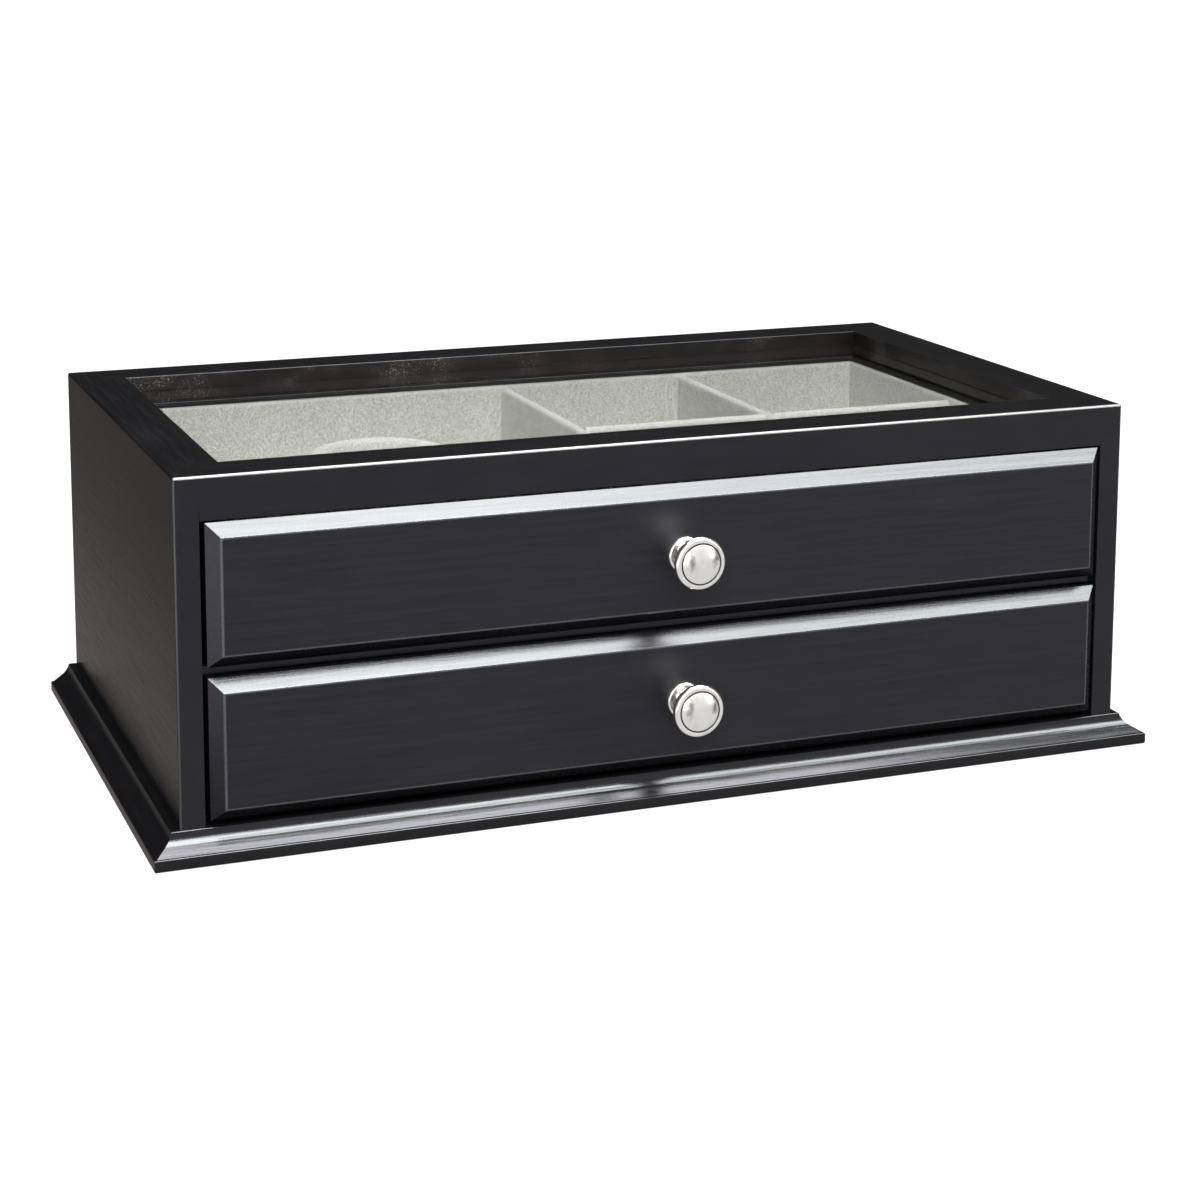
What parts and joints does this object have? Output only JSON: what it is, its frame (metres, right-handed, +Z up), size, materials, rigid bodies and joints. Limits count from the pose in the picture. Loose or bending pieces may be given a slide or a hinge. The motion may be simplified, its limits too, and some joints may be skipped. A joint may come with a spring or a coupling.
{
  "type": "tie box",
  "caption": "Low black lacquered tie box with a glazed fixed top, velvet lined drawers stacked one over the other with round knobs, and a coved base moulding.",
  "frame": {"origin": "on the table, under the middle of the whole box with its knobs", "axes": "+Z up; +X to the right seen from the front, along the width; the drawers open towards -Y"},
  "size_m": [0.3702, 0.2172, 0.1275],
  "materials": {
    "black_lacquer": "satin gloss lacquer over fine grain",
    "drawer_wood": "stained, matte",
    "velvet": "short pile, grey beige",
    "clear_glass": "clear, polished",
    "satin_nickel": "satin nickel plate",
    "screw_steel": "bright zinc"
  },
  "bodies": {
    "cabinet": {"left_side": "black_lacquer", "right_side": "black_lacquer", "back_panel": "black_lacquer", "bottom_board": "black_lacquer", "drawer_shelf": "black_lacquer", "front_top_rail": "black_lacquer", "top_frame_front": "black_lacquer", "top_frame_back": "black_lacquer", "top_frame_left": "black_lacquer", "top_frame_right": "black_lacquer", "glass_bead_front": "black_lacquer", "glass_bead_back": "black_lacquer", "glass_bead_left": "black_lacquer", "glass_bead_right": "black_lacquer", "glass_pane": "clear_glass", "plinth_front": "black_lacquer", "plinth_left": "black_lacquer", "plinth_right": "black_lacquer"},
    "upper_drawer": {"upper_drawer_front": "black_lacquer", "upper_drawer_left_side": "drawer_wood", "upper_drawer_right_side": "drawer_wood", "upper_drawer_back": "drawer_wood", "upper_drawer_bottom": "drawer_wood", "upper_front_lining": "velvet", "upper_back_lining": "velvet", "upper_left_lining": "velvet", "upper_right_lining": "velvet", "upper_floor_lining": "velvet", "upper_knob": "satin_nickel", "upper_knob_screw": "screw_steel", "centre_divider": "velvet", "right_divider": "velvet", "cross_divider_inner": "velvet", "cross_divider_outer": "velvet", "tie_post": "velvet"},
    "lower_drawer": {"lower_drawer_front": "black_lacquer", "lower_drawer_left_side": "drawer_wood", "lower_drawer_right_side": "drawer_wood", "lower_drawer_back": "drawer_wood", "lower_drawer_bottom": "drawer_wood", "lower_front_lining": "velvet", "lower_back_lining": "velvet", "lower_left_lining": "velvet", "lower_right_lining": "velvet", "lower_floor_lining": "velvet", "lower_knob": "satin_nickel", "lower_knob_screw": "screw_steel"}
  },
  "joints": [
    {"name": "upper_drawer_slide", "type": "slide", "parent": "cabinet", "child": "upper_drawer", "axis": [0, -1, 0], "range_m": [0, 0.13]},
    {"name": "lower_drawer_slide", "type": "slide", "parent": "cabinet", "child": "lower_drawer", "axis": [0, -1, 0], "range_m": [0, 0.13]}
  ]
}
